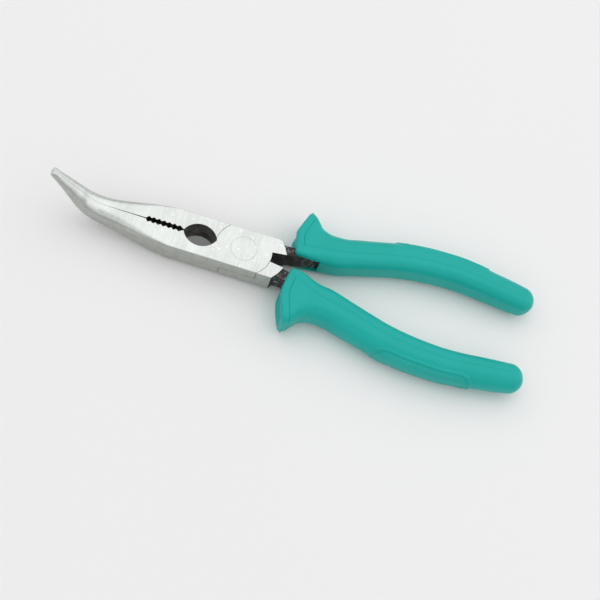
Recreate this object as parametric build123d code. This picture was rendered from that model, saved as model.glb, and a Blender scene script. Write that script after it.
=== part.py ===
from build123d import *
import os
from math import cos, radians, sin

# Bent needle nose pliers, 8 inch class, jaws closed.
# Millimetres.  +X runs along the pliers towards the nose tip, +Z is the normal of the
# joint's front face, the way the nose bends, and the origin is where the rivet's axis
# meets the joint's back face.  The front half carries the +Y jaw and the -Y handle,
# and the rear half carries the -Y jaw and the +Y handle.

# Joint
THICKNESS = 10.3          # back face to front face
HALF_WIDTH = 9.03         # centre line to either side face
EDGE_RADIUS = 0.25        # broken edges of the ground head
LAP_RADIUS = 11.7         # round shoulder of each half where the two lap
LAP_CLEARANCE = 0.16      # between the round shoulders
FACE_CLEARANCE = 0.05     # each half stands this far off the lap plane
MIDDLE_Z = THICKNESS / 2

# Rivet, ground flush in front and behind
RIVET_HEAD_RADIUS = 5.35
RIVET_SHANK_RADIUS = 4.2
RIVET_HEAD_DEPTH = 2.0
RIVET_CLEARANCE = 0.08    # in the front half, which turns on it

# Jaws: the lens shaped pipe grip, then the teeth, then a thin gap that closes at the bend
PARTING_GAP = 0.04        # half of what is left between the closed jaws at the tip
PIPE_GRIP_NEAR_X = 11.4
PIPE_GRIP_FAR_X = 25.5
PIPE_GRIP_HALF_HEIGHT = 5.0
TOOTH_COUNT = 7
TOOTH_PITCH = 2.15
TOOTH_DEPTH = 1.45
TEETH_START_X = 26.2
RELIEF_END_X = 58.0
RELIEF_DEPTH = 0.22

# Nose: straight to the bend, then up to the tip.  The path is the nose's front line.
BEND_START_X = 57.5
BEND_RADIUS = 11.5
BEND_ANGLE = 41.0
NOSE_TAPER_X = 28.0       # straight sided as far as this
TIP_X = 82.0              # just beyond the tip
TIP_Z = 30.0              # just above the tip
# distance along the path, half width, depth, front edge radius, back edge radius
NOSE_SECTIONS = [
    (20.0, 9.03, 10.3, 0.25, 0.25),
    (28.0, 9.03, 10.3, 0.25, 0.25),
    (37.0, 8.25, 10.3, 1.0, 1.2),
    (47.0, 6.9, 10.3, 3.0, 3.4),
    (55.0, 5.7, 10.2, 3.8, 4.6),
    (62.0, 4.7, 9.1, 3.2, 4.4),
    (69.0, 3.7, 6.7, 2.6, 3.4),
    (77.0, 2.6, 4.1, 1.7, 2.2),
    (83.5, 1.7, 2.4, 1.0, 1.2),
]
NOSE_STATIONS = 18        # sections in the loft

# Tang, the part of each half behind the joint, as distance behind the pivot, distance
# from the X axis, and the width and depth of its forged bar
TANG_LINE = [
    (11.0, 5.4, 5.6, 9.8), (17.0, 5.4, 4.8, 9.6), (20.0, 5.9, 5.0, 9.3),
    (31.0, 9.2, 6.0, 8.4), (46.0, 14.2, 6.2, 7.6), (60.0, 18.2, 6.0, 7.0),
    (76.0, 21.2, 5.6, 6.4), (92.0, 21.6, 5.0, 5.6), (104.0, 20.5, 4.4, 5.0),
]
TANG_CORNER = 0.25        # corner radius, as a share of the smaller side
TANG_STATIONS = 16        # sections in the loft
CROTCH_HALF_WIDTH = 1.75  # between the two tangs, next to the joint
GROUND_END = [(-13.9, HALF_WIDTH), (-16.0, 6.2), (-17.5, 3.05)]  # grinding stops here

# Grip, as distance behind the pivot, distance from the X axis, width and depth
GRIP_LINE = [
    (30.0, 11.7, 13.6, 12.6), (38.4, 12.5, 15.0, 13.2), (46.7, 14.7, 14.6, 13.5),
    (55.0, 17.0, 14.4, 13.6), (63.5, 19.2, 14.4, 13.6), (71.8, 20.8, 14.4, 13.6),
    (80.2, 21.6, 14.2, 13.5), (88.6, 21.9, 14.0, 13.3), (97.0, 21.4, 13.7, 13.1),
    (105.3, 20.4, 13.4, 12.9), (113.6, 19.3, 13.0, 12.5), (125.2, 17.6, 12.0, 11.6),
]
GUARD_DEPTH = 13.8
GUARD_OUTLINE = [(-20.7, 4.6), (-18.8, 13.7), (-20.4, 20.0), (-23.7, 27.2), (-28.4, 20.8),
                 (-38.0, 18.4), (-38.0, 5.2)]
GUARD_HOLLOW_RADIUS = 8.0
GUARD_CORNER_RADIUS = 1.4
GUARD_RIM_RADIUS = 1.3
SLOT_END_X = 31.5         # the tang's inner side is bare as far as this
SLOT_SIDE_Y = 9.0
SLOT_DEPTH = 8.6
GRIP_CORNER = 0.42        # corner radius, as a share of the smaller side
GRIP_STATIONS = 14        # sections in the loft
GRIP_END_RADIUS = 5.6
GRIP_END_TURNS = [0, 20, 38, 54, 67, 78]  # degrees round the end where it has a section


def smooth(xs, ys, x):
    """Value at x of a smooth curve through the points, which never overshoots them."""
    steps = [(y1 - y0) / (x1 - x0) for x0, x1, y0, y1 in zip(xs, xs[1:], ys, ys[1:])]
    slopes = [2 * a * b / (a + b) if a * b > 0 else 0.0 for a, b in zip(steps, steps[1:])]
    slopes = [steps[0]] + slopes + [steps[-1]]
    i = sum(x > knot for knot in xs[1:-1])
    span = xs[i + 1] - xs[i]
    t = (x - xs[i]) / span
    value = (1 + 2 * t) * (1 - t) ** 2 * ys[i] + (3 - 2 * t) * t * t * ys[i + 1]
    return value + span * (t * (1 - t) ** 2 * slopes[i] - (1 - t) * t * t * slopes[i + 1])


def spaced(first, last, count):
    """Evenly spaced numbers from first to last."""
    return [first + (last - first) * i / (count - 1) for i in range(count)]


def prism(outline, low=-1.0, high=THICKNESS + 1.0):
    """A closed outline in plan, drawn up from low to high."""
    return Pos(0, 0, low) * extrude(make_face(outline), amount=high - low)


def polygon(points):
    """Closed outline through the points."""
    return Polyline(*points, close=True)


def nose_point(s):
    """X, Z and slope of the nose's front line at distance s along it."""
    slope = min(max(s - BEND_START_X, 0) / BEND_RADIUS, radians(BEND_ANGLE))
    beyond = max(s - BEND_START_X - BEND_RADIUS * radians(BEND_ANGLE), 0)
    x = min(s, BEND_START_X) + BEND_RADIUS * sin(slope) + beyond * cos(slope)
    z = THICKNESS + BEND_RADIUS * (1 - cos(slope)) + beyond * sin(slope)
    return x, z, slope


def nose_section(s):
    """Cross-section of the +Y jaw, flat on the parting plane and rounded outside."""
    columns = list(zip(*NOSE_SECTIONS))
    width, depth, front, back = [smooth(columns[0], column, s) for column in columns[1:]]
    x, z, slope = nose_point(s)
    outline = Curve() + [
        Line((0, 0), (width - front, 0)),
        CenterArc((width - front, -front), front, 90, -90),
        Line((width, -front), (width, back - depth)),
        CenterArc((width - back, back - depth), back, 0, -90),
        Line((width - back, -depth), (0, -depth)),
        Line((0, -depth), (0, 0)),
    ]
    return Plane((x, 0, z), (0, 1, 0), (cos(slope), 0, sin(slope))) * make_face(outline)


def jaw():
    """The +Y jaw at full thickness, from the pivot to the tip, with its teeth."""
    bar = extrude(nose_section(NOSE_TAPER_X), amount=-NOSE_TAPER_X)
    stations = spaced(NOSE_TAPER_X, NOSE_SECTIONS[-1][0], NOSE_STATIONS)
    nose = loft([nose_section(s) for s in stations])
    land = TOOTH_DEPTH / 2
    relief = [(PIPE_GRIP_NEAR_X + 0.1, -1), (PIPE_GRIP_NEAR_X + 0.1, PARTING_GAP),
              (PIPE_GRIP_FAR_X - 0.5, PARTING_GAP), (TEETH_START_X, land)]
    for i in range(TOOTH_COUNT):
        relief.append((TEETH_START_X + (i + 0.5) * TOOTH_PITCH, TOOTH_DEPTH))
        relief.append((TEETH_START_X + (i + 1) * TOOTH_PITCH, land))
    relief[-1] = (TEETH_START_X + TOOTH_COUNT * TOOTH_PITCH, RELIEF_DEPTH)
    relief += [(RELIEF_END_X, PARTING_GAP), (TIP_X, PARTING_GAP), (TIP_X, -1)]
    return bar + nose - prism(polygon(relief), high=TIP_Z)


def pipe_grip():
    """The lens shaped opening between the jaws."""
    half_length = (PIPE_GRIP_FAR_X - PIPE_GRIP_NEAR_X) / 2
    radius = (half_length ** 2 + PIPE_GRIP_HALF_HEIGHT ** 2) / (2 * PIPE_GRIP_HALF_HEIGHT)
    shift = radius - PIPE_GRIP_HALF_HEIGHT
    x = PIPE_GRIP_NEAR_X + half_length
    lens = (Pos(x, shift) * Circle(radius)) & (Pos(x, -shift) * Circle(radius))
    return Pos(0, 0, -1) * extrude(lens, THICKNESS + 2)


def tang_root():
    """The ground stretch of the +Y tang, next to the joint."""
    start = [(-8, CROTCH_HALF_WIDTH), (-3, CROTCH_HALF_WIDTH), (-3, HALF_WIDTH)]
    return prism(polygon(start + GROUND_END), 0, THICKNESS)


def across(line, corner, x, scale=1.0):
    """Rounded section across a handle's line, at distance x behind the pivot."""
    xs, ys, widths, depths = zip(*line)
    near = max(x - 0.5, xs[0])
    far = min(x + 0.5, xs[-1])
    rise = (smooth(xs, ys, far) - smooth(xs, ys, near)) / (far - near)
    width = smooth(xs, widths, x) * scale
    depth = smooth(xs, depths, x) * scale
    plane = Plane((-x, smooth(xs, ys, x), MIDDLE_Z), (rise, 1, 0), (-1, rise, 0))
    return plane * RectangleRounded(width, depth, corner * min(width, depth))


def tang_bar():
    """The forged bar of the +Y tang, which runs on inside the grip."""
    stations = spaced(TANG_LINE[0][0], TANG_LINE[-1][0], TANG_STATIONS)
    return loft([across(TANG_LINE, TANG_CORNER, x) for x in stations])


def tang():
    """The whole +Y tang."""
    return tang_root() + tang_bar()


def grip():
    """Grip of the +Y handle: a lofted body and a flared guard, moulded round the tang."""
    cap_x = GRIP_LINE[-1][0] - GRIP_END_RADIUS
    stations = spaced(GRIP_LINE[0][0], cap_x, GRIP_STATIONS)
    body = loft([across(GRIP_LINE, GRIP_CORNER, x) for x in stations])
    turns = [radians(degrees) for degrees in GRIP_END_TURNS]
    cap = loft([across(GRIP_LINE, GRIP_CORNER, cap_x + GRIP_END_RADIUS * sin(turn), cos(turn))
                for turn in turns])
    plan = make_face(polygon(GUARD_OUTLINE))
    plan = fillet(plan.vertices().sort_by(Axis.X)[2], GUARD_HOLLOW_RADIUS)
    plan = fillet(plan.vertices().filter_by(lambda v: v.X > -25), GUARD_CORNER_RADIUS)
    guard = Pos(0, 0, MIDDLE_Z) * extrude(plan, GUARD_DEPTH / 2, both=True)
    guard = fillet(guard.faces().filter_by(Axis.Z).edges(), GUARD_RIM_RADIUS)
    slot = Pos(-SLOT_END_X / 2, 0, MIDDLE_Z) * Box(SLOT_END_X, 2 * SLOT_SIDE_Y, SLOT_DEPTH)
    return body + cap + guard - slot - tang()


def lap(solid, low, high):
    """Cut the other half's round shoulder out of the layer from low to high."""
    return solid - Pos(0, 0, (low + high) / 2) * Cylinder(LAP_RADIUS + LAP_CLEARANCE, high - low)


def disc(low, high):
    """The lapped stretch of one half: its round shoulders between flat sides."""
    section = RectangleRounded(THICKNESS, 2 * HALF_WIDTH, EDGE_RADIUS)
    bar = Pos(0, 0, MIDDLE_Z) * Rot(0, 90, 0) * extrude(section, LAP_RADIUS, both=True)
    return bar & (Pos(0, 0, (low + high) / 2) * Cylinder(LAP_RADIUS, high - low))


def rivet(clearance):
    """The rivet with its two countersunk heads, or the hole that clears it."""
    head = RIVET_HEAD_RADIUS + clearance
    shank = RIVET_SHANK_RADIUS + clearance
    depth = RIVET_HEAD_DEPTH + clearance
    profile = polygon([(0, 0), (head, 0), (shank, depth), (shank, THICKNESS - depth),
                       (head, THICKNESS), (0, THICKNESS)])
    return revolve(Plane.XZ * make_face(profile), Axis.Z)


def half(front):
    """One forged half: front carries the +Y jaw and the -Y tang, rear the other two."""
    own = (MIDDLE_Z + FACE_CLEARANCE, THICKNESS) if front else (0, MIDDLE_Z - FACE_CLEARANCE)
    other = (-1, MIDDLE_Z + FACE_CLEARANCE) if front else (MIDDLE_Z - FACE_CLEARANCE, THICKNESS + 1)
    this_jaw = jaw() if front else mirror(jaw(), Plane.XZ)
    this_tang = mirror(tang(), Plane.XZ) if front else tang()
    solid = lap(this_jaw + this_tang, *other) + disc(*own)
    return solid - pipe_grip() - rivet(RIVET_CLEARANCE if front else 0)


os.makedirs("parts", exist_ok=True)
rear_grip = grip()
parts = {
    "front_half": half(True),
    "rear_half": half(False),
    "pivot_rivet": rivet(0),
    "front_grip": mirror(rear_grip, Plane.XZ),
    "rear_grip": rear_grip,
}
for name, solid in parts.items():
    export_step(solid, f"parts/{name}.step")
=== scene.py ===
from math import ceil, cos, hypot, pi, radians, sin

import bmesh
import bpy
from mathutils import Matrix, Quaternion, Vector


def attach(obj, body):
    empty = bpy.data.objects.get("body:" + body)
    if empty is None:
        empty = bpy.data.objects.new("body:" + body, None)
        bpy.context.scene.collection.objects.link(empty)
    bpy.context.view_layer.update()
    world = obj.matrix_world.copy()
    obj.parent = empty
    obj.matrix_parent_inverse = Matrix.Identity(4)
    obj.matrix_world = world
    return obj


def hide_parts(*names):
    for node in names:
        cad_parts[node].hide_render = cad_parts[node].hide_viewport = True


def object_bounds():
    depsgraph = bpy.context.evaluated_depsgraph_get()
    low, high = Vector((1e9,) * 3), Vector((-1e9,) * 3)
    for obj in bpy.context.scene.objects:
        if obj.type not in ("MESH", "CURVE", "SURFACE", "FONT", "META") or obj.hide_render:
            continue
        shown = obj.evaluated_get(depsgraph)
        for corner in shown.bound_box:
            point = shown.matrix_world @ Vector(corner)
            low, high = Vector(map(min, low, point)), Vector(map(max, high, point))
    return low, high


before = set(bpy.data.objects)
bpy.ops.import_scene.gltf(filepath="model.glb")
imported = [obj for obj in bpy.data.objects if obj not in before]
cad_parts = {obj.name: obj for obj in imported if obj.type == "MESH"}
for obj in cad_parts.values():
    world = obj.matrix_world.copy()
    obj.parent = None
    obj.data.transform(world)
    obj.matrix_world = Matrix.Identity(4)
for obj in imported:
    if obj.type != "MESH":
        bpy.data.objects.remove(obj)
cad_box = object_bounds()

# Bent needle nose pliers, in the frame of the CAD: +X to the nose tip, +Z the normal of the
# joint's front face, and the origin where the rivet's axis meets the joint's back face.
# Lengths here are millimetres, and metres(...) turns them into Blender's units.
THICKNESS = 10.3
MIDDLE_Z = THICKNESS / 2
HALF_WIDTH = 9.03
LAP_RADIUS = 11.7
GROUND_END_X = -13.85      # behind this the forging is left black
CROTCH_X = -8.0            # and so are the crotch's sides behind this
CROTCH_HALF_WIDTH = 3.2
BEHIND_ALL_X = -200.0
FACE_SKIN = 0.12           # depth below the joint's faces that is always ground
SEAM_HALF_WIDTH = 0.11     # of the line where the halves meet on the joint's sides
SEAM_BLUR = 0.03
JAW_INSIDE_NEAR_X = 11.2   # the dark inside of the jaws, from just behind the pipe grip
JAW_INSIDE_FAR_X = 41.5    # to the end of the teeth
JAW_INSIDE_Y = 5.1         # and this far to each side
FEW_FLECKS_Y = 3.5         # the black scale has few bare flecks nearer the X axis than this,
ALL_FLECKS_Y = 6.0         # and all of them from here outwards

# Camera: above the pivot, out over the +Y side, and turned about its own axis
CAMERA_PLACE = (0, 184.2, 342.7)
CAMERA_TARGET = (-27.9, 12.25, MIDDLE_Z)
CAMERA_ROLL = 25.4         # degrees
CAMERA_LENS = 56.0
GAP_DIRECTION = (0.0, 0.34, 0.94)  # towards the darker gap in the studio's soft light
FLOOR_GAP = 0.02           # from the floor to the lowest point of the pliers

# Body of the +Y grip, from its end towards the guard: distance behind the pivot, distance
# from the X axis, width and depth
GRIP_LINE = [
    (125.1, 17.8, 11.3, 11.2), (113.6, 19.5, 12.4, 12.1), (105.3, 20.6, 12.8, 12.5),
    (97.0, 21.6, 13.1, 12.7), (88.6, 22.1, 13.4, 12.9), (80.2, 21.8, 13.6, 13.1),
    (71.8, 21.0, 13.8, 13.2), (63.5, 19.5, 13.8, 13.3), (55.0, 17.2, 13.9, 13.3),
    (46.7, 14.9, 14.2, 13.4),
]
GRIP_CORNER = 5.6          # corner radius on the outer side of the body's section
GRIP_INNER_CORNER = 3.8    # and on its inner side
GRIP_CROWN = 0.25          # how far the section's flats stand proud in their middle
GRIP_END_LENGTH = 5.6      # of the rounded end
MOULD_SHARE = 0.41         # where the mould line runs, from the inner edge to the outer
# Its guard before it is drawn in, as slices that fan out: inner edge, outer edge, depth, inner
# and outer corner radius, how far its ridge stands towards the nose, and the mould line's share
GUARD_SLICES = [
    ((-38.0, 5.1), (-39.6, 20.3), 13.4, 3.8, 5.4, 0.0, 0.43),
    ((-33.5, 4.75), (-34.2, 19.9), 13.5, 3.4, 5.0, 0.5, 0.38),
    ((-29.5, 4.6), (-29.9, 21.0), 13.65, 2.8, 4.6, 1.2, 0.31),
    ((-26.5, 4.6), (-27.2, 23.8), 13.75, 2.0, 4.2, 2.1, 0.25),
    ((-24.4, 4.6), (-25.7, 25.5), 13.8, 1.7, 4.0, 2.9, 0.19),
    ((-20.7, 4.6), (-23.0, 27.2), 13.8, 1.6, 4.0, 3.1, 0.17),
]
# The -Y grip is the +Y grip's mirror image, but only the +Y guard is drawn in towards X
GUARD_REACH = 2.6          # by at most this much
REACH_START_X = -35.0      # there is none behind this
REACH_FULL_X = -23.0       # and all of it in front of this,
REACH_FULL_Y = 8.0         # nearer the axis than this
REACH_END_Y = 20.0         # and it has faded out this far from the axis
GUARD_RIDGE = 0.45         # where the ridge runs, from the inner edge to the outer
RIDGE_SOFTNESS = 0.15
BORDER_SLICE = -2          # the border line follows this guard slice
GROOVE_HALF_WIDTH = 0.2    # of the border line and the mould line
BORDER_DEPTH = 0.24
MOULD_LINE_DEPTH = 0.1
RIM_RADIUS = 1.3           # round the guard's end face
RIM_WIDTH = 0.9
DISH_DEPTH = 1.8
DISH_END_HEIGHT = 0.5      # half the height of the dish's innermost section
SLOT_END_X = -31.5         # the tang's inner side is bare from here to the nose
SLOT_BOTTOM_Y = 9.0
SLOT_HEIGHT = 8.6
PANEL_NEAR = 61.5          # ends of the oval panel on the outer side, behind the pivot
PANEL_FAR = 103.5
PANEL_HALF_HEIGHT = 7.0
PANEL_RIM_WIDTH = 1.6      # each of its two rims, one inside the other
PANEL_RIM_HEIGHT = 0.55
STATION_STEP = 0.4         # between the sections of a grip's mesh
END_SECTIONS = 14          # on its rounded end,
RIM_SECTIONS = 6           # on the rim of its end face
DISH_SECTIONS = 16         # and in the dish
SIDE_STEPS = 6             # steps round a section: on each half side,
CORNER_STEPS = 16          # on each corner
FLAT_STEPS = 12            # and on the flat at each side of the mould line
SHARP_EDGE = 50            # degrees, from which an edge is shaded sharp


def metres(*point):
    """A point in millimetres as a vector in metres."""
    return Vector(point) * 0.001


def smooth(xs, ys, x):
    """Value at x of a smooth curve through the points, which never overshoots them."""
    steps = [(y1 - y0) / (x1 - x0) for x0, x1, y0, y1 in zip(xs, xs[1:], ys, ys[1:])]
    slopes = [2 * a * b / (a + b) if a * b > 0 else 0.0 for a, b in zip(steps, steps[1:])]
    slopes = [steps[0]] + slopes + [steps[-1]]
    i = sum(x > knot for knot in xs[1:-1])
    span = xs[i + 1] - xs[i]
    t = (x - xs[i]) / span
    value = (1 + 2 * t) * (1 - t) ** 2 * ys[i] + (3 - 2 * t) * t * t * ys[i + 1]
    return value + span * (t * (1 - t) ** 2 * slopes[i] - (1 - t) * t * t * slopes[i + 1])


def ease(t):
    """0 below 0, 1 above 1 and a smooth rise between."""
    t = min(max(t, 0.0), 1.0)
    return t * t * (3 - 2 * t)


# Grips ---------------------------------------------------------------------------------------

def body_slices():
    """The body's slices, square to its line, in the same terms as the guard's."""
    slices = []
    for i, (x, y, width, depth) in enumerate(GRIP_LINE):
        before = GRIP_LINE[max(i - 1, 0)]
        after = GRIP_LINE[min(i + 1, len(GRIP_LINE) - 1)]
        across = Vector(((after[1] - before[1]) / (after[0] - before[0]), 1)).normalized()
        inner = Vector((-x, y)) - across * width / 2
        outer = Vector((-x, y)) + across * width / 2
        slices.append((inner, outer, depth, GRIP_INNER_CORNER, GRIP_CORNER, 0.0, MOULD_SHARE))
    return slices


def slice_columns():
    """The slices' numbers as columns, with the distance along the grip as the first."""
    rows = []
    distance = 0.0
    last = None
    for inner, outer, *rest in body_slices() + GUARD_SLICES:
        middle = (Vector(inner) + Vector(outer)) / 2
        distance += (middle - last).length if last else 0.0
        last = middle
        rows.append((distance, *inner, *outer, *rest))
    return list(zip(*rows))


COLUMNS = slice_columns()
GRIP_LENGTH = COLUMNS[0][-1]
BORDER_AT = COLUMNS[0][BORDER_SLICE]


def spaced(first, last, count):
    """Evenly spaced numbers from first to last."""
    return [first + (last - first) * i / (count - 1) for i in range(count)]


def corner_points(width, depth, corner):
    """Points round the outer front corner, from the side to the flat."""
    return [(width / 2 - corner * (1 - cos(turn)), depth / 2 - corner * (1 - sin(turn)))
            for turn in spaced(0, pi / 2, CORNER_STEPS + 1)]


def outline(width, depth, inner_corner, outer_corner, mould):
    """A section: a rounded rectangle with crowned flats, as points across and up.  It runs
    from the middle of the outer side round by the front, and mirrored back by the rear."""
    margin = 3 * GROOVE_HALF_WIDTH
    mould = max(mould, inner_corner - width / 2 + margin)
    groove = [mould + GROOVE_HALF_WIDTH, mould, mould - GROOVE_HALF_WIDTH]
    flat = spaced(width / 2 - outer_corner, groove[0], FLAT_STEPS)[1:-1] + groove
    flat += spaced(groove[-1], inner_corner - width / 2, FLAT_STEPS)[1:-1]
    front = [(width / 2, h) for h in spaced(0, depth / 2 - outer_corner, SIDE_STEPS + 1)[:-1]]
    front += corner_points(width, depth, outer_corner)
    front += [(a, depth / 2) for a in flat]
    front += [(-a, h) for a, h in reversed(corner_points(width, depth, inner_corner))]
    front += [(-width / 2, h) for h in spaced(depth / 2 - inner_corner, 0, SIDE_STEPS + 1)[1:]]
    whole = front + [(a, -h) for a, h in reversed(front[1:-1])]
    crown = GRIP_CROWN * min(inner_corner / GRIP_INNER_CORNER, 1.0)
    return [(a - crown * (2 * a / width) * (2 * h / depth) ** 2,
             h - crown * (2 * h / depth) * (2 * a / width) ** 2) for a, h in whole]


# The mould line's place in an outline: after the half side, the corner, the flat's inside
# points and the near edge of its groove
MOULD_INDEX = SIDE_STEPS + (CORNER_STEPS + 1) + (FLAT_STEPS - 2) + 1


def panel_relief(distance_behind, girth):
    """Height of the oval panel's two raised rims, where girth is the distance round the
    section from the middle of the outer side."""
    middle = (PANEL_NEAR + PANEL_FAR) / 2
    straight = (PANEL_FAR - PANEL_NEAR) / 2 - PANEL_HALF_HEIGHT
    along = max(abs(distance_behind - middle) - straight, 0.0)
    rims = (PANEL_HALF_HEIGHT - hypot(along, girth)) / PANEL_RIM_WIDTH
    return PANEL_RIM_HEIGHT * sin(pi * min(max(rims, 0.0), 2.0)) ** 2


def section_normals(section):
    """Outward normals of a section's points."""
    pairs = zip(section[-1:] + section[:-1], section[1:] + section[:1])
    return [Vector((after[1] - before[1], before[0] - after[0])).normalized()
            for before, after in pairs]


def section_girths(section):
    """Distance of each of a section's points from its first, by the shorter way round."""
    steps = [hypot(p[0] - q[0], p[1] - q[1]) for p, q in zip(section, section[1:] + section[:1])]
    return [min(sum(steps[:k]), sum(steps[k:])) for k in range(len(section))]


def ridge_share(share):
    """Height of the guard's ridge, from 0 at the edges to about 1, at a share of the width."""
    rise = share / GUARD_RIDGE
    fall = (1 - share) / (1 - GUARD_RIDGE)
    return (rise + fall - hypot(rise - fall, RIDGE_SOFTNESS)) / 2


def ring(distance, inset=0.0, scale=1.0, forward=0.0, roundness=0.0, relief=True):
    """Points of the section at a distance along the +Y grip, pulled in by inset, scaled about
    its middle and moved forward, with the lines and the panel that are moulded into it.
    Roundness 1 rounds its ends off fully."""
    numbers = [smooth(COLUMNS[0], column, distance) for column in COLUMNS[1:]]
    ix, iy, ox, oy, depth, inner_corner, outer_corner, ridge, mould = numbers
    inner = Vector((ix, iy))
    outer = Vector((ox, oy))
    full = (outer - inner).length
    across = (outer - inner) / full
    ahead = Vector((across.y, -across.x))
    middle = (inner + outer) / 2
    half_depth = depth / 2 - inset
    corners = [min(max(corner - inset, 0.2, roundness * half_depth), 0.9 * half_depth)
               for corner in (inner_corner, outer_corner)]
    width = full - 2 * inset
    section = outline(width, 2 * half_depth, *corners, width * (mould - 0.5))
    section = [(scale * a, scale * h) for a, h in section]
    normals = section_normals(section)
    girths = section_girths(section)
    points = []
    for k, (a, h) in enumerate(section):
        out = 0.0
        if relief:
            from_outer = min(k, len(section) - k)
            out = panel_relief(-middle.x, girths[k])
            if distance == BORDER_AT and from_outer <= MOULD_INDEX:
                out -= BORDER_DEPTH
            elif from_outer == MOULD_INDEX:
                out -= MOULD_LINE_DEPTH
        place = middle + across * (a + normals[k].x * out)
        place += ahead * (ridge * ridge_share(a / full + 0.5) + forward)
        points.append(metres(place.x, place.y, MIDDLE_Z + h + normals[k].y * out))
    return points


def grip_rings():
    """All the sections of the +Y grip, from its rounded end to the middle of its end face."""
    rings = []
    for turn in spaced(radians(86), radians(8), END_SECTIONS):
        rings.append(ring(GRIP_END_LENGTH * (1 - sin(turn)), scale=cos(turn), relief=False))
    last = GRIP_LENGTH - RIM_RADIUS
    count = ceil((last - GRIP_END_LENGTH) / STATION_STEP)
    stations = [d for d in spaced(GRIP_END_LENGTH, last, count)
                if abs(d - BORDER_AT) > 2.5 * GROOVE_HALF_WIDTH]
    stations += [BORDER_AT + step * GROOVE_HALF_WIDTH for step in (-2, -1, 0, 1, 2)]
    rings += [ring(d) for d in sorted(stations)]
    for turn in spaced(radians(15), radians(90), RIM_SECTIONS):
        rings.append(ring(GRIP_LENGTH, RIM_RADIUS * (1 - cos(turn)),
                          forward=RIM_RADIUS * (sin(turn) - 1), relief=False))
    half_depth = GUARD_SLICES[-1][2] / 2
    rim = RIM_RADIUS + RIM_WIDTH
    for inset in spaced(rim, half_depth - DISH_END_HEIGHT, DISH_SECTIONS):
        share = (inset - rim) / (half_depth - rim)
        rings.append(ring(GRIP_LENGTH, inset, forward=-DISH_DEPTH * sin(pi / 2 * share),
                          roundness=min(3 * share, 1), relief=False))
    return rings


def reach_in(point):
    """A point of the +Y grip, drawn in towards the X axis if it is on the guard."""
    x, y, z = point * 1000
    ahead = ease((x - REACH_START_X) / (REACH_FULL_X - REACH_START_X))
    inside = ease((REACH_END_Y - y) / (REACH_END_Y - REACH_FULL_Y))
    return metres(x, y - GUARD_REACH * ahead * inside, z)


def skin(name, rings, mirrored):
    """A closed mesh over the rings, mirrored to the -Y side if asked."""
    shape = bmesh.new()
    sign = -1 if mirrored else 1
    rows = [[shape.verts.new((p.x, sign * p.y, p.z)) for p in row] for row in rings]
    for row, following in zip(rows, rows[1:]):
        for k in range(len(row)):
            after = (k + 1) % len(row)
            shape.faces.new((row[k], row[after], following[after], following[k]))
    for row in (rows[0], rows[-1]):
        close(shape, row)
    bmesh.ops.recalc_face_normals(shape, faces=shape.faces)
    return as_object(name, shape)


def close(shape, row):
    """Fill a ring with faces from its front half straight across to its back half."""
    half = len(row) // 2
    for k in range(half):
        corners = [row[k], row[k + 1], row[len(row) - k - 1], row[-k]]
        shape.faces.new(list(dict.fromkeys(corners)))


def as_object(name, shape):
    """A new object in the scene with the bmesh as its mesh."""
    mesh = bpy.data.meshes.new(name)
    shape.to_mesh(mesh)
    shape.free()
    made = bpy.data.objects.new(name, mesh)
    bpy.context.scene.collection.objects.link(made)
    return made


def block(name, low, high):
    """A box between two corners, which cuts another piece."""
    shape = bmesh.new()
    bmesh.ops.create_cube(shape, size=1.0)
    for vert in shape.verts:
        vert.co = Vector([a + (b - a) * (c + 0.5) for a, b, c in zip(low, high, vert.co)])
    return as_object(name, shape)


def cut(piece, cutter):
    """Take the cutter's shape out of the piece, and remove the cutter."""
    modifier = piece.modifiers.new("cut", "BOOLEAN")
    modifier.object = cutter
    modifier.solver = "EXACT"
    bpy.context.view_layer.update()
    graph = bpy.context.evaluated_depsgraph_get()
    piece.data = bpy.data.meshes.new_from_object(piece.evaluated_get(graph))
    piece.modifiers.clear()
    bpy.data.objects.remove(cutter)


def grip(name, body, node, mirrored, material):
    """One moulded grip, with the slot over the tang's inner side cut into it."""
    rings = grip_rings()
    if not mirrored:
        rings = [[reach_in(point) for point in row] for row in rings]
    piece = skin(name, rings, mirrored)
    sign = -1 if mirrored else 1
    sides = sorted((0.0, sign * SLOT_BOTTOM_Y))
    cutter = block("slot", metres(SLOT_END_X, sides[0], MIDDLE_Z - SLOT_HEIGHT / 2),
                   metres(0, sides[1], MIDDLE_Z + SLOT_HEIGHT / 2))
    cut(piece, cutter)
    piece.data.polygons.foreach_set("use_smooth", [True] * len(piece.data.polygons))
    piece.data.set_sharp_from_angle(angle=radians(SHARP_EDGE))
    piece.data.materials.clear()
    piece.data.materials.append(material)
    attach(piece, body)
    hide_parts(node)


# Materials -----------------------------------------------------------------------------------

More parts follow.
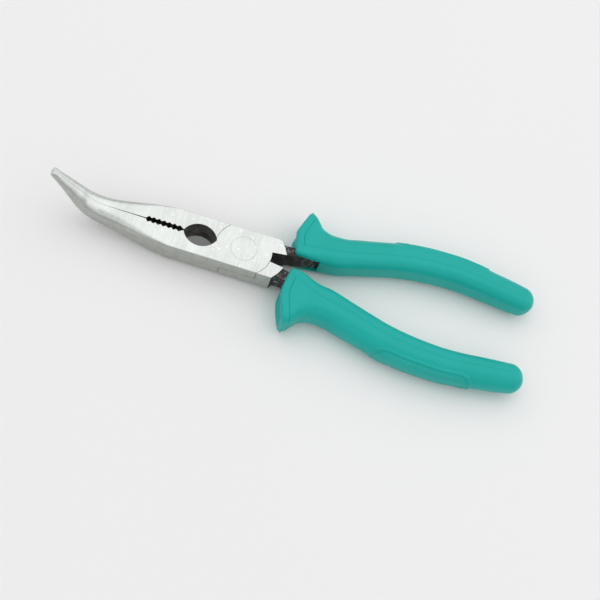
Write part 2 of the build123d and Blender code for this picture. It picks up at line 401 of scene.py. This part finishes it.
class Shader:
    """A material's node tree, with short calls for the nodes used here."""

    def __init__(self, name):
        self.material = bpy.data.materials.new(name)
        self.material.use_nodes = True
        self.tree = self.material.node_tree
        self.surface = self.tree.nodes["Principled BSDF"]
        self.place = self.tree.nodes.new("ShaderNodeTexCoord").outputs["Object"]

    def node(self, kind, settings=(), **inputs):
        """A new node.  Its inputs are given by name, with _ for a space, or as i0, i1..."""
        made = self.tree.nodes.new("ShaderNode" + kind)
        for name, value in dict(settings).items():
            setattr(made, name, value)
        for name, value in inputs.items():
            key = int(name[1:]) if name[1:].isdigit() else name.replace("_", " ")
            self.plug(made.inputs[key], value)
        return made

    def plug(self, socket, value):
        """Link a socket to the value if that is a socket too, or else set it to the value."""
        if isinstance(value, bpy.types.NodeSocket):
            self.tree.links.new(value, socket)
        else:
            socket.default_value = value

    def set(self, **inputs):
        """Set the surface's own inputs."""
        for name, value in inputs.items():
            self.plug(self.surface.inputs[name.replace("_", " ")], value)

    def math(self, operation, a, b=0.0):
        """One sum of two values."""
        return self.node("Math", {"operation": operation}, i0=a, i1=b).outputs[0]

    def axes(self):
        """The place's X, Y and Z, in metres."""
        return self.node("SeparateXYZ", Vector=self.place).outputs

    def noise(self, stretch, detail=4.0, roughness=0.55, seed=0.0):
        """Noise from 0 to 1, with stretch as its cycles per metre along each axis."""
        moved = self.node("Mapping", Vector=self.place, Location=(seed, seed, seed), Scale=stretch)
        return self.node("TexNoise", Vector=moved.outputs[0], Scale=1.0, Detail=detail,
                         Roughness=roughness).outputs[0]

    def ramp(self, value, low, high, start=0.0, end=1.0):
        """Value taken from low..high to start..end, and held there."""
        made = self.node("MapRange", Value=value, From_Min=low, From_Max=high,
                         To_Min=start, To_Max=end)
        return made.outputs[0]

    def mix(self, share, first, second):
        """Two colours mixed."""
        made = self.node("Mix", {"data_type": "RGBA"})
        self.plug(made.inputs["Factor"], share)
        self.plug(made.inputs[6], first)
        self.plug(made.inputs[7], second)
        return made.outputs[2]

    def bump(self, height, distance, strength=1.0, under=None):
        """A normal with the height, in metres at 1, pressed into it."""
        made = self.node("Bump", Height=height, Distance=distance, Strength=strength)
        if under:
            self.plug(made.inputs["Normal"], under)
        return made.outputs[0]


def grip_plastic():
    """Moulded teal plastic: satin, faintly mottled, with a fine orange-peel skin."""
    shader = Shader("grip_plastic")
    cloud = shader.noise((60, 60, 60), detail=3.0)
    fine = shader.noise((900, 900, 900), detail=2.0)
    tint = shader.ramp(cloud, 0.35, 0.65)
    teal = shader.mix(tint, (0.001, 0.415, 0.365, 1), (0.003, 0.445, 0.395, 1))
    shader.set(Base_Color=teal)
    shader.set(Roughness=shader.ramp(fine, 0.3, 0.7, 0.34, 0.46))
    shader.set(Normal=shader.bump(fine, 0.00004, 0.5))
    shader.set(IOR=1.48, Specular_IOR_Level=0.33)
    return shader.material


def steel(name, forged):
    """Ground steel, with painted shade: its upright sides are a darker grey than its flats.  On a
    forging it also has the black scale, the dark inside of the jaws and the line where the halves
    meet."""
    shader = Shader(name)
    facing = shader.node("NewGeometry").outputs["Normal"]
    facing = shader.node("SeparateXYZ", Vector=facing).outputs
    aside = shader.math("ABSOLUTE", facing[1])
    streaks = shader.noise((2600, 90, 90), detail=3.0, roughness=0.7)
    patches = shader.noise((330, 330, 330), detail=5.0, seed=4.0)
    # Painted shade: faces turned along Y, the upright sides, get a darker grey than the ground
    # flats, with random patches in that grey; the flat mask picks the ground colour elsewhere.
    side = shader.mix(shader.ramp(patches, 0.3, 0.7),
                      (0.44, 0.46, 0.425, 1), (0.53, 0.55, 0.51, 1))
    flat = shader.ramp(aside, 0.4, 0.95, 1.0, 0.0)
    colour = shader.mix(flat, side, ground_colour(shader, streaks))
    rough = shader.ramp(streaks, 0.25, 0.75, 0.30, 0.48)
    metallic = 1.0
    normal = shader.bump(streaks, 0.00002, 0.35)
    if forged:
        x, y, z = shader.axes()
        up = shader.math("ABSOLUTE", facing[2])
        scale = black_scale(shader, x, y, z)
        crust = shader.noise((700, 700, 700), detail=6.0, roughness=0.65, seed=9.0)
        dark = shader.mix(shader.ramp(patches, 0.35, 0.7),
                          (0.07, 0.068, 0.062, 1), (0.22, 0.21, 0.20, 1))
        colour = shader.mix(jaw_inside(shader, x, y, up), colour, dark)
        colour = shader.mix(lap_seam(shader, x, z, aside), colour, (0.05, 0.05, 0.045, 1))
        colour = shader.mix(scale, colour, scale_colour(shader, crust, y))
        rough = shader.math("MAXIMUM", rough, shader.ramp(scale, 0, 1, 0, 0.5))
        metallic = shader.ramp(scale, 0, 1, 1.0, 0.35)
        normal = shader.bump(shader.math("MULTIPLY", crust, scale), 0.0003, 0.8, under=normal)
    shader.set(Base_Color=colour, Metallic=metallic, Roughness=rough, Normal=normal)
    return shader.material


def ground_colour(shader, streaks):
    """The bright ground flats: brushed, a little cloudy, with paler worn patches."""
    cloud = shader.noise((110, 60, 110), detail=4.0)
    polish = shader.math("ADD", shader.math("MULTIPLY", streaks, 0.6),
                         shader.math("MULTIPLY", cloud, 0.4))
    brushed = shader.mix(shader.ramp(polish, 0.35, 0.65),
                         (0.60, 0.63, 0.61, 1), (0.82, 0.85, 0.83, 1))
    worn = shader.noise((520, 700, 520), detail=4.0, seed=7.0)
    return shader.mix(shader.ramp(worn, 0.60, 0.74), brushed, (0.90, 0.93, 0.91, 1))


def scale_colour(shader, crust, y):
    """Black scale, flecked with bare metal, but less so between the tangs."""
    outside = shader.ramp(shader.math("ABSOLUTE", y), FEW_FLECKS_Y * 0.001,
                          ALL_FLECKS_Y * 0.001, 0.25, 1.0)
    fleck = shader.math("MULTIPLY", outside, shader.ramp(crust, 0.52, 0.66))
    return shader.mix(fleck, (0.026, 0.025, 0.023, 1), (0.42, 0.41, 0.40, 1))


def between(shader, value, low, high, blur=0.08):
    """1 where the value in metres is from low to high in millimetres, and 0 elsewhere, with
    edges that are twice the blur wide."""
    above = shader.ramp(value, (low - blur) * 0.001, (low + blur) * 0.001)
    below = shader.ramp(value, (high - blur) * 0.001, (high + blur) * 0.001, 1.0, 0.0)
    return shader.math("MULTIPLY", above, below)


def black_scale(shader, x, y, z):
    """1 where the forging's black scale was left: the tangs, and the sides of the crotch."""
    off_faces = between(shader, z, FACE_SKIN, THICKNESS - FACE_SKIN)
    tang = between(shader, x, BEHIND_ALL_X, GROUND_END_X)
    crotch = shader.math("MULTIPLY", between(shader, x, BEHIND_ALL_X, CROTCH_X),
                         between(shader, y, -CROTCH_HALF_WIDTH, CROTCH_HALF_WIDTH))
    return shader.math("MULTIPLY", off_faces, shader.math("MAXIMUM", tang, crotch))


def jaw_inside(shader, x, y, up):
    """1 on the upright faces inside the pipe grip and the teeth."""
    along = between(shader, x, JAW_INSIDE_NEAR_X, JAW_INSIDE_FAR_X)
    across = between(shader, y, -JAW_INSIDE_Y, JAW_INSIDE_Y)
    upright = shader.ramp(up, 0.2, 0.6, 1.0, 0.0)
    return shader.math("MULTIPLY", upright, shader.math("MULTIPLY", along, across))


def lap_seam(shader, x, z, aside):
    """1 along the line on the joint's sides where the two halves meet."""
    half_length = (LAP_RADIUS ** 2 - HALF_WIDTH ** 2) ** 0.5
    along = between(shader, x, -half_length, half_length)
    level = between(shader, z, MIDDLE_Z - SEAM_HALF_WIDTH, MIDDLE_Z + SEAM_HALF_WIDTH, SEAM_BLUR)
    line = shader.math("MULTIPLY", along, level)
    return shader.math("MULTIPLY", shader.ramp(aside, 0.5, 0.7), line)


# Studio --------------------------------------------------------------------------------------

def floor():
    """A wide pale floor, close under the pliers."""
    shader = Shader("floor_paint")
    cloud = shader.noise((3, 3, 3), detail=2.0)
    paint = shader.mix(cloud, (0.90, 0.90, 0.90, 1), (0.93, 0.93, 0.93, 1))
    shader.set(Base_Color=paint, Roughness=0.9)
    shape = bmesh.new()
    bmesh.ops.create_grid(shape, x_segments=8, y_segments=8, size=4.0)
    plane = as_object("floor", shape)
    plane.location.z = cad_box[0].z - FLOOR_GAP * 0.001
    plane.data.materials.append(shader.material)


def softbox(name, place, size, power):
    """A square area light that faces the frame's origin."""
    light = bpy.data.lights.new(name, "AREA")
    light.shape = "SQUARE"
    light.size = size
    light.energy = power
    made = bpy.data.objects.new(name, light)
    bpy.context.scene.collection.objects.link(made)
    made.location = place
    made.rotation_euler = (-Vector(place)).to_track_quat("-Z", "Y").to_euler()


def studio():
    """Soft light all round from above, with a darker gap over the +Y side, and two softboxes."""
    world = bpy.data.worlds.new("surround")
    world.use_nodes = True
    tree = world.node_tree
    sky = tree.nodes.new("ShaderNodeTexCoord").outputs["Generated"]
    toward = tree.nodes.new("ShaderNodeVectorMath")
    toward.operation = "DOT_PRODUCT"
    toward.inputs[1].default_value = GAP_DIRECTION
    tree.links.new(sky, toward.inputs[0])
    height = tree.nodes.new("ShaderNodeSeparateXYZ")
    tree.links.new(sky, height.inputs[0])
    dome = world_ramp(tree, height.outputs["Z"], 0.05, 0.75, 0.28, 1.14)
    gap = world_ramp(tree, toward.outputs["Value"], 0.84, 0.98, 1.0, 0.5)
    strength = tree.nodes.new("ShaderNodeMath")
    strength.operation = "MULTIPLY"
    tree.links.new(dome, strength.inputs[0])
    tree.links.new(gap, strength.inputs[1])
    tree.links.new(strength.outputs[0], tree.nodes["Background"].inputs["Strength"])
    tree.nodes["Background"].inputs["Color"].default_value = (1.0, 1.0, 1.0, 1)
    bpy.context.scene.world = world
    softbox("key", (-0.1, -0.5, 1.0), size=1.2, power=0.5)
    softbox("side", (-1.2, -0.6, 0.35), size=0.9, power=1.6)
    bpy.context.scene.view_settings.view_transform = "Standard"


def world_ramp(tree, value, low, high, start, end):
    """Value taken smoothly from low..high to start..end, in the surround's nodes."""
    made = tree.nodes.new("ShaderNodeMapRange")
    made.interpolation_type = "SMOOTHSTEP"
    tree.links.new(value, made.inputs["Value"])
    for name, number in (("From Min", low), ("From Max", high), ("To Min", start), ("To Max", end)):
        made.inputs[name].default_value = number
    return made.outputs[0]


def camera():
    """The camera, where it looks down at the pliers from over the +Y handle's side."""
    made = bpy.data.objects.new("camera", bpy.data.cameras.new("camera"))
    bpy.context.scene.collection.objects.link(made)
    made.data.sensor_width = 36
    made.data.lens = CAMERA_LENS
    made.data.clip_start = 0.01
    made.location = metres(*CAMERA_PLACE)
    aim = (metres(*CAMERA_TARGET) - made.location).to_track_quat("-Z", "Y")
    made.rotation_mode = "QUATERNION"
    made.rotation_quaternion = aim @ Quaternion((0, 0, 1), radians(CAMERA_ROLL))
    bpy.context.scene.camera = made


def repaint(node, material):
    """Give a CAD node its finish."""
    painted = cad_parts[node]
    painted.data.materials.clear()
    painted.data.materials.append(material)


camera()
studio()
floor()
forged_steel = steel("forged_steel", forged=True)
repaint("front_half", forged_steel)
repaint("rear_half", forged_steel)
repaint("pivot_rivet", steel("rivet_steel", forged=False))
plastic = grip_plastic()
grip("rear_grip_moulding", "rear", "rear_grip", False, plastic)
grip("front_grip_moulding", "front", "front_grip", True, plastic)
